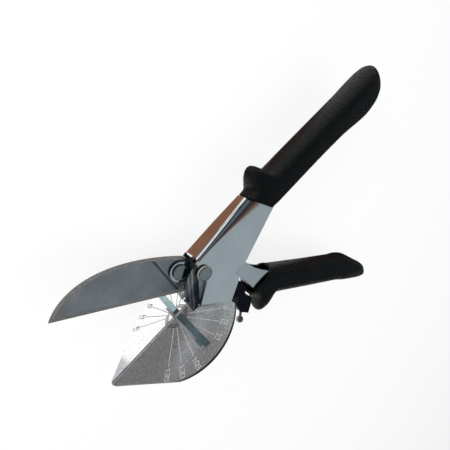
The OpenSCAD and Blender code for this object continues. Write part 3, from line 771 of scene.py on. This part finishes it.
class ShearsFinishSettings(bpy.types.PropertyGroup):
    """Colours and gloss of the carried-over metal"""

    plated: bpy.props.FloatVectorProperty(
        name="Plated sheet", description="Colour of the bright pressed frame channel", subtype="COLOR", **RGB,
        default=(0.74, 0.75, 0.76))
    lever: bpy.props.FloatVectorProperty(
        name="Lever sheet", description="Colour of the duller pressed lever channel", subtype="COLOR", **RGB,
        default=(0.64, 0.655, 0.67))
    plated_rough: bpy.props.FloatProperty(
        name="Plated roughness", description="Roughness of both pressed channels", min=0, max=1, default=0.10)
    table: bpy.props.FloatVectorProperty(
        name="Table", description="Colour of the galvanised angle table", subtype="COLOR", **RGB,
        default=(0.86, 0.86, 0.86))
    zinc: bpy.props.FloatVectorProperty(
        name="Fences", description="Colour of the zinc plated fences", subtype="COLOR", **RGB,
        default=(0.25, 0.36, 0.37))
    # The fences' pale edge band is a painted highlight for their lit side
    edge_highlight: bpy.props.FloatVectorProperty(
        name="Rubbed edge", description="Colour of the fences' rubbed edge", subtype="COLOR", **RGB,
        default=(0.80, 0.80, 0.84))
    fixings: bpy.props.FloatVectorProperty(
        name="Fixings", description="Colour of the nickel plated rivets and pins", subtype="COLOR", **RGB,
        default=(0.60, 0.59, 0.57))
    pivot_head: bpy.props.FloatVectorProperty(
        name="Pivot head", description="Colour of the pivot's turned head", subtype="COLOR", **RGB,
        default=(0.33, 0.35, 0.36))
    head_side: bpy.props.FloatVectorProperty(
        name="Head side", description="Colour of the turned side of the pivot's head", subtype="COLOR", **RGB,
        default=(0.42, 0.38, 0.34))
    rivet_head: bpy.props.FloatVectorProperty(
        name="Blade rivet", description="Colour of the blade rivet's turned head", subtype="COLOR", **RGB,
        default=(0.28, 0.29, 0.30))
    knob: bpy.props.FloatVectorProperty(
        name="Knob", description="Colour of the catch's ball knob", subtype="COLOR", **RGB,
        default=(0.34, 0.31, 0.29))
    edge: bpy.props.FloatVectorProperty(
        name="Cut edges", description="Colour of the sheet's cut edges", subtype="COLOR", **RGB,
        default=(0.10, 0.10, 0.105))
    # The lips' colour is darkened as a painted dark reflection
    lip_dark_reflection: bpy.props.FloatVectorProperty(
        name="Folded lips", description="Colour of the darkened front lips", subtype="COLOR", **RGB,
        default=(0.2, 0.205, 0.21))
    catch: bpy.props.FloatVectorProperty(
        name="Catch", description="Colour of the moulded catch", subtype="COLOR", **RGB,
        default=(0.0015, 0.002, 0.004))


class ShearsChannelSettings(bpy.types.PropertyGroup):
    """Opening of the channel's long bends"""

    across: bpy.props.FloatProperty(
        name="Over the spine", description="Growth of the bend over the spine, per millimetre",
        min=0, max=0.01, precision=4, default=0.0009)
    down: bpy.props.FloatProperty(
        name="Down the cheek", description="Growth of the bend down the cheek, per millimetre",
        min=0, max=0.01, precision=4, default=0.0054)


class ShearsSpringSettings(bpy.types.PropertyGroup):
    """Wire and coil of the opening spring"""

    wire: bpy.props.FloatProperty(
        name="Wire", description="Thickness of the spring's wire", unit="LENGTH", min=0, default=0.0009)
    rise: bpy.props.FloatProperty(
        name="Rise", description="How far the coil climbs from one leg to the other", unit="LENGTH", min=0,
        default=0.00226)


class ShearsGripSettings(bpy.types.PropertyGroup):
    """Shape and finish of the two grips"""

    colour: bpy.props.FloatVectorProperty(
        name="Colour", description="Colour of the moulded grips", subtype="COLOR", **RGB,
        default=(0.0012, 0.0018, 0.002))
    rough: bpy.props.FloatProperty(
        name="Roughness", description="Roughness of the grips", min=0, max=1, default=0.5)
    gloss: bpy.props.FloatProperty(name="Gloss", description="Sheen of the grips", min=0, max=1, default=0.24)
    pebble: bpy.props.FloatProperty(
        name="Pebble", description="Pebbles per metre in the mould", min=100, max=5000, default=800)
    depth: bpy.props.FloatProperty(
        name="Depth", description="Strength of the pebbles' relief", min=0, max=1, default=0.65)
    rows: bpy.props.IntProperty(name="Rows", description="Rings along a grip", min=40, max=400, default=170)
    columns: bpy.props.IntProperty(
        name="Columns", description="Points round a grip", min=24, max=200, default=88)


class ShearsBladeSettings(bpy.types.PropertyGroup):
    """Finish of the blade"""

    colour: bpy.props.FloatVectorProperty(
        name="Colour", description="Colour of the ground blade", subtype="COLOR", **RGB,
        default=(0.40, 0.41, 0.43))
    rough: bpy.props.FloatProperty(
        name="Roughness", description="Roughness of the blade", min=0, max=1, default=0.3)
    edge: bpy.props.FloatVectorProperty(
        name="Bevels", description="Colour of the honed bevels and the back", subtype="COLOR", **RGB,
        default=(0.24, 0.232, 0.225))


class ShearsMarkSettings(bpy.types.PropertyGroup):
    """Colour of the engraved angle scale"""

    # Pale colour of the near wing's lines and numbers, a painted highlight
    colour: bpy.props.FloatVectorProperty(
        name="Colour", description="Colour of the engraved lines and numbers", subtype="COLOR", **RGB,
        default=(0.40, 0.40, 0.40))
    ring: bpy.props.FloatVectorProperty(
        name="Ring", description="Colour of the ring and of the far wing's marks", subtype="COLOR", **RGB,
        default=(0.06, 0.06, 0.065))


class ShearsStageSettings(bpy.types.PropertyGroup):
    """Floor, light and camera"""

    floor: bpy.props.FloatVectorProperty(
        name="Floor", description="Colour of the pale floor", subtype="COLOR", **RGB,
        default=(0.92, 0.92, 0.92))
    white: bpy.props.FloatProperty(
        name="White share", description="Share of plain white in the floor that the camera sees",
        min=0, max=1, default=0.78)
    light: bpy.props.FloatProperty(name="Key light", description="Power of the key lamp", min=0, default=10.0)
    sky: bpy.props.FloatVectorProperty(
        name="Sky", description="Colour of the studio's walls and ceiling", subtype="COLOR", **RGB,
        default=(0.36, 0.42, 0.45))
    sky_strength: bpy.props.FloatProperty(
        name="Sky strength", description="Strength of the studio's own light", min=0, max=5, default=1.0)
    lens: bpy.props.FloatProperty(name="Lens", description="Camera lens", min=10, max=200, default=26.405)


# Operators


class SHEARS_OT_finishes(bpy.types.Operator):
    """Puts the metal and plastic finishes on the carried-over parts"""

    bl_idname = "shears.finishes"
    bl_label = "Finish the metal parts"

    def execute(self, context):
        s = context.scene.shears_finish
        plated = plated_sheet("plated_sheet", s.plated, s.plated_rough)
        lever = plated_sheet("lever_sheet", s.lever, s.plated_rough)
        zinc = zinc_strip("zinc_plate", s.zinc, rough=0.25)
        fence = zinc_strip("fence_plate", s.zinc, rough=0.25, edge_highlight=s.edge_highlight)
        pins = nickel("nickel_pins", s.fixings, rough=0.2)
        rivet = on_lever([[-RIVET_REACH, 0, 0]])[0]
        pivot_head = turned_head("pivot_head", s.pivot_head, 0.16, PIVOT, PIVOT_HEAD)
        finishes = {
            "frame_channel": plated, "lever_channel": lever,
            "angle_table": galvanised(s.table, rough=0.22),
            "near_fence": fence, "far_fence": fence, "near_spacer": zinc, "pivot_bush": zinc,
            "table_rivets": pins, "pivot_bolt": pivot_head, "pivot_nut": pivot_head, "lock_pin": pins,
            "blade_rivet": turned_head("rivet_head", s.rivet_head, 0.16, rivet, RIVET_HEAD),
            "lock_knob": nickel("ball_knob", s.knob, rough=0.1), "opening_spring": spring_wire(),
            "lock_catch": moulded_black("moulded_catch", s.catch, rough=0.34, gloss=0.12, pebble=2200,
                                        depth=0.25),
        }
        for name, material in finishes.items():
            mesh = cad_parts[name].data
            mesh.materials.clear()
            mesh.materials.append(material)
        edge = sheared_edge(s.edge, rough=0.38)
        # Cut edges of both channels: square to the cheeks, no wider than the sheet
        for name in ("frame_channel", "lever_channel"):
            mesh, normal, corners = triangles(name)
            thin = np.ptp(corners[..., 2], axis=1) < EDGE_WIDTH
            finish_faces(mesh, (np.abs(normal[:, 2]) < 0.1) & thin, edge)
        # Front edge of the lever's web, in the dark cut-edge finish, which here also stands as painted shade
        # for the face's shadow
        mesh, normal, corners = triangles("lever_channel")
        finish_faces(mesh, (normal[:, 0] < -0.9) & (np.abs(normal[:, 2]) < 0.1), edge)
        # Round side of the pivot's head, with painted reflection rings
        mesh, normal, corners = triangles("pivot_bolt")
        finish_faces(mesh, np.abs(normal[:, 2]) < 0.8, satin_side_painted_rings(s.head_side, rough=0.3))
        # Folded lips at the nose: faces that lean forward off the cheeks; they take a darkened colour with
        # painted reflection streaks
        mesh, normal, corners = triangles("frame_channel")
        steep = np.abs(normal[:, 2])
        leaning = (steep > 0.6) & (steep < 0.99999) & (normal[:, 0] < -0.004)
        lips = leaning & (corners[..., 0].mean(1) < LIP_BACK)
        finish_faces(mesh, lips, lip_painted_reflection(s.lip_dark_reflection, rough=0.14))
        # Rim of the table: faces square to each wing, above the ears and off their sides
        mesh, normal, corners = triangles("angle_table")
        middle = corners.mean(1)
        facing = normal[:, 1] * np.cos(SLOPE) + normal[:, 2] * np.sign(middle[:, 2]) * np.sin(SLOPE)
        long = np.ptp(corners[..., [0, 2]], axis=1).sum(-1) > 0.5
        rim = (np.abs(facing) < 0.25) & long & (middle[:, 1] > EAR_TOP) & (np.abs(normal[:, 2]) < 0.99)
        finish_faces(mesh, rim, edge)
        return {"FINISHED"}


class SHEARS_OT_channel(bpy.types.Operator):
    """Carries the frame's channel over with its long bends opened towards the hand"""

    bl_idname = "shears.channel"
    bl_label = "Open the channel's bends"

    def execute(self, context):
        s = context.scene.shears_channel
        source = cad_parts["frame_channel"].data
        work = joined_copy(source)
        start = Vector((*SPINE_FRONT, 0)) * MM
        along = Vector((np.cos(SPINE_RISE), np.sin(SPINE_RISE), 0))
        # Cuts that give the bends enough points: along the spine, down the cheeks, across the spine
        cuts = [(along, d) for d in np.arange(1.0, 58, 2.5)]
        cuts += [(Vector((-along.y, along.x, 0)), -d) for d in np.arange(3.0, 17.5, 0.8)]
        widths = np.append(np.arange(-4.4, -2, 0.4), np.arange(2.4, 4.5, 0.4))
        cuts += [(Vector((0, 0, 1)), d) for d in widths]
        for way, distance in cuts:
            bmesh.ops.bisect_plane(work, geom=[*work.verts, *work.edges, *work.faces], dist=1e-7,
                                   plane_co=start + way * float(distance) * MM, plane_no=way)
        bmesh.ops.triangulate(work, faces=work.faces)
        mesh = closed_copy(work, "channel_skin", source)
        points, slope, moved = opened_bends(mesh_points(mesh) / MM, s.across, s.down)
        mesh.vertices.foreach_set("co", (points * MM).astype(np.float32).ravel())
        mesh.set_sharp_from_angle(angle=np.radians(28))
        mesh.update()
        corner = read_rows(mesh.loops, "vertex_index", np.int32)
        normal = read_rows(mesh.corner_normals, "vector", np.float32, 3)
        facing = (normal * slope[corner]).sum(1)
        bent = moved[corner] & (np.abs(facing) > 0.7)
        normal[bent] = slope[corner][bent] * np.sign(facing[bent])[:, None]
        mesh.normals_split_custom_set(normal.tolist())
        put_piece(mesh, "frame", ["frame_channel"])
        return {"FINISHED"}


class SHEARS_OT_spring(bpy.types.Operator):
    """Carries the opening spring over as a joined copy with smooth shading, and hides the carried-over part
    """

    bl_idname = "shears.spring"
    bl_label = "Wind the opening spring"

    def execute(self, context):
        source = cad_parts["opening_spring"].data
        mesh = closed_copy(joined_copy(source), "spring_coil", source)
        mesh.set_sharp_from_angle(angle=np.radians(70))
        foot = float(mesh_points(mesh)[:, 2].min())
        spring = placed("spring_coil", mesh)
        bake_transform(spring)
        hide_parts("opening_spring")
        return {"FINISHED"}


class SHEARS_OT_grips(bpy.types.Operator):
    """Builds the two moulded grips"""

    bl_idname = "shears.grips"
    bl_label = "Build the grips"

    def execute(self, context):
        s = context.scene.shears_grip
        black = moulded_black("moulded_grip", s.colour, s.rough, s.gloss, s.pebble, s.depth)
        faces = grid_faces(s.rows + len(MOUTH_RINGS) + len(END_RINGS), s.columns, True)
        upper = grip_surface(grip_keys(**UPPER_GRIP), **UPPER_SEAT, rows=s.rows, columns=s.columns)
        upper = upper.reshape(-1, 3) + PIVOT + UPPER_LIFT
        turned = [row[::-1] for row in faces]
        put_mesh("upper_grip_skin", upper, turned, "frame", black, ["upper_grip"])
        lower = grip_surface(grip_keys(**LOWER_GRIP), **LOWER_SEAT, rows=s.rows, columns=s.columns)
        lower = lower.reshape(-1, 3) * np.array([1, -1, 1]) + LOWER_DROP
        put_mesh("lower_grip_skin", on_lever(lower), faces, "lever", black, ["lower_grip"])
        return {"FINISHED"}


class SHEARS_OT_blade(bpy.types.Operator):
    """Puts the ground face and the honed bevels on the blade"""

    bl_idname = "shears.blade"
    bl_label = "Finish the blade"

    def execute(self, context):
        s = context.scene.shears_blade
        mesh, normal, _ = triangles("blade")
        mesh.materials.clear()
        mesh.materials.append(ground_steel(s.colour, s.rough))
        finish_faces(mesh, np.abs(normal[:, 2]) < 0.995, honed_edge(s.edge, rough=0.45))
        return {"FINISHED"}


class SHEARS_OT_marks(bpy.types.Operator):
    """Lays the angle scale on both wings of the table"""

    bl_idname = "shears.marks"
    bl_label = "Lay the angle marks"

    def execute(self, context):
        s = context.scene.shears_mark
        # The near wing's lines and numbers are painted pale, a painted highlight for grooves that catch the
        # light; the rings and the far wing's marks take the dark fill
        pale = mark_fill("mark_fill", s.colour, rough=0.6)
        dark = mark_fill("mark_dark_fill", s.ring, rough=0.6)
        for side, name, fill in ((1, "near", pale), (-1, "far", dark)):
            for strokes, what, paint in zip(mark_strokes(side), ("marks", "ring"), (fill, dark)):
                points, faces = stroke_surface(strokes, side, MARK_HEIGHT)
                put_mesh(name + "_" + what, points, faces, "frame", paint, smooth=False)
        return {"FINISHED"}


class SHEARS_OT_stage(bpy.types.Operator):
    """Sets the floor, the soft light and the camera"""

    bl_idname = "shears.stage"
    bl_label = "Set the stage"

    def execute(self, context):
        s = context.scene.shears_stage
        scene = context.scene
        scene.view_settings.view_transform = "Standard"
        low = CAD_BOX[0][2] - FLOOR_GAP
        square = [(x * FLOOR_HALF, y * FLOOR_HALF) for x, y in ((-1, -1), (1, -1), (1, 1), (-1, 1))]
        floor = stage_plane("floor", square, low, pale_floor(s.floor, s.white))
        cards = [stage_plane(name, outline, low + lift, card_glow(name, colour))
                 for name, lift, colour, outline in CARDS]
        for card in cards:
            card.visible_camera = card.visible_diffuse = card.visible_shadow = False
        scene.world = studio_world(s.sky, s.sky_strength)
        for name, place, size, share in LAMPS:
            lamp = bpy.data.lights.new(name, "AREA")
            lamp.size = size
            lamp.energy = s.light * share
            holder = placed(name, lamp)
            holder.location = place
            holder.rotation_euler = (LAMP_AIM - Vector(place)).to_track_quat("-Z", "Y").to_euler()
            holder.visible_glossy = False
        lens = bpy.data.cameras.new("photo_view")
        lens.sensor_width = 36
        lens.lens = s.lens
        lens.clip_start = 0.01
        camera = placed("photo_view", lens)
        turn = np.eye(4)
        turn[:3] = np.stack([VIEW_RIGHT, -VIEW_DOWN, -VIEW_AHEAD, VIEW_FROM * MM], 1)
        camera.matrix_world = Matrix(turn.tolist())
        scene.camera = camera
        return {"FINISHED"}


class SHEARS_PT_panel(bpy.types.Panel):
    """Lists the pieces and their settings"""

    bl_label = "Mitre shears"
    bl_idname = "SHEARS_PT_panel"
    bl_space_type = "VIEW_3D"
    bl_region_type = "UI"
    bl_category = "Shears"

    def draw(self, context):
        for operator, group, _ in PIECES:
            box = self.layout.box()
            box.operator(operator.bl_idname)
            settings = getattr(context.scene, group)
            for key in settings.__annotations__:
                box.prop(settings, key)


PIECES = (
    (SHEARS_OT_finishes, "shears_finish", ShearsFinishSettings),
    (SHEARS_OT_channel, "shears_channel", ShearsChannelSettings),
    (SHEARS_OT_spring, "shears_spring", ShearsSpringSettings),
    (SHEARS_OT_grips, "shears_grip", ShearsGripSettings),
    (SHEARS_OT_blade, "shears_blade", ShearsBladeSettings),
    (SHEARS_OT_marks, "shears_mark", ShearsMarkSettings),
    (SHEARS_OT_stage, "shears_stage", ShearsStageSettings),
)
CLASSES = (*(row[2] for row in PIECES), *(row[0] for row in PIECES), SHEARS_PT_panel)


def register():
    for cls in CLASSES:
        bpy.utils.register_class(cls)
    for _, name, group in PIECES:
        setattr(bpy.types.Scene, name, bpy.props.PointerProperty(type=group))


def unregister():
    for _, name, _ in PIECES:
        delattr(bpy.types.Scene, name)
    for cls in reversed(CLASSES):
        bpy.utils.unregister_class(cls)


def main():
    """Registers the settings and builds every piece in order."""
    register()
    bpy.ops.shears.finishes()
    bpy.ops.shears.channel()
    bpy.ops.shears.spring()
    bpy.ops.shears.grips()
    bpy.ops.shears.blade()
    bpy.ops.shears.marks()
    bpy.ops.shears.stage()


if __name__ == "__main__":
    main()
